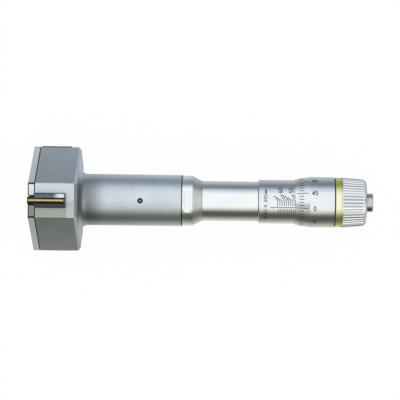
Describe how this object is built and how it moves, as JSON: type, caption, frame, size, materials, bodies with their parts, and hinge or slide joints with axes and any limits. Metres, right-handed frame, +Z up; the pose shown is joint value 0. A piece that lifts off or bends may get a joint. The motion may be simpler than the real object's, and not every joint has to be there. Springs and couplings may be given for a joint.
{
  "type": "three-point inside micrometer",
  "caption": "Inside micrometer with sliding radial anvils in a faceted head, a long stem, a graduated sleeve, a thimble and a fluted ratchet knob.",
  "frame": {"origin": "centre of the head's front face, on the instrument's axis", "axes": "+X along the axis from the front face to the ratchet, +Z up through the top anvil, so that a wide flat of the head faces down"},
  "size_m": [0.1582, 0.0492, 0.0457],
  "materials": {
    "satin_steel": "satin chrome on steel",
    "tool_steel": "ground",
    "gold_coating": "gold coloured hard coating on carbide",
    "spring_wire": "drawn wire",
    "bronze": "turned",
    "black_screws": "black oxide",
    "polished_chrome": "polished",
    "matt_chrome": "blasted matt",
    "satin_chrome": "satin",
    "ball_metal": "lapped",
    "nub_steel": "turned",
    "yellow_ring": "glossy enamel colour",
    "black_rubber": "matt"
  },
  "bodies": {
    "frame": {"head_body": "satin_steel", "front_plate": "satin_steel", "front_plate_screws": "black_screws", "anvil_spring_pins": "tool_steel", "anvil_spring_top": "spring_wire", "anvil_spring_right": "spring_wire", "anvil_spring_left": "spring_wire", "rod_guide_bush": "bronze", "guide_screw": "black_screws", "rod_return_spring": "spring_wire", "stem_collar": "polished_chrome", "shoulder_adapter": "matt_chrome", "handle_barrel": "polished_chrome", "graduated_sleeve": "satin_chrome", "spindle_nut": "bronze", "adjusting_nut": "tool_steel"},
    "top_anvil": {"anvil_top": "tool_steel", "anvil_tip_top": "gold_coating"},
    "right_anvil": {"anvil_right": "tool_steel", "anvil_tip_right": "gold_coating"},
    "left_anvil": {"anvil_left": "tool_steel", "anvil_tip_left": "gold_coating"},
    "plunger": {"measuring_cone": "tool_steel", "push_rod": "tool_steel"},
    "thimble": {"spindle": "tool_steel", "spindle_ball": "ball_metal", "thimble": "satin_chrome", "seal_ring": "black_rubber", "colour_ring": "yellow_ring", "ratchet_hub": "tool_steel", "ratchet_screw": "nub_steel"},
    "ratchet": {"ratchet_disc": "tool_steel", "ratchet_spring": "spring_wire", "ratchet_knob": "satin_chrome"}
  },
  "joints": [
    {"name": "cone_feed", "type": "slide", "parent": "frame", "child": "plunger", "axis": [-1, 0, 0], "range_m": [-0.0045, 0.0085], "deforming": ["rod_return_spring"]},
    {"name": "thimble_turn", "type": "hinge", "parent": "plunger", "child": "thimble", "pos_m": [0.13, 0, 0], "axis": [-1, 0, 0], "range_deg": [-3241, 6121]},
    {"name": "ratchet_turn", "type": "hinge", "parent": "thimble", "child": "ratchet", "pos_m": [0.149, 0, 0], "axis": [-1, 0, 0], "continuous": true},
    {"name": "top_anvil_slide", "type": "slide", "parent": "frame", "child": "top_anvil", "axis": [0, 0, 1], "range_m": [-0.00225, 0.00425], "deforming": ["anvil_spring_top"]},
    {"name": "right_anvil_slide", "type": "slide", "parent": "frame", "child": "right_anvil", "axis": [0, -0.866, -0.5], "range_m": [-0.00225, 0.00425], "deforming": ["anvil_spring_right"]},
    {"name": "left_anvil_slide", "type": "slide", "parent": "frame", "child": "left_anvil", "axis": [0, 0.866, -0.5], "range_m": [-0.00225, 0.00425], "deforming": ["anvil_spring_left"]}
  ],
  "couplings": [
    {"joint": "thimble_turn", "follows": "cone_feed", "rad_per_m": 12566},
    {"joint": "top_anvil_slide", "follows": "cone_feed", "ratio": 0.5},
    {"joint": "right_anvil_slide", "follows": "cone_feed", "ratio": 0.5},
    {"joint": "left_anvil_slide", "follows": "cone_feed", "ratio": 0.5}
  ]
}
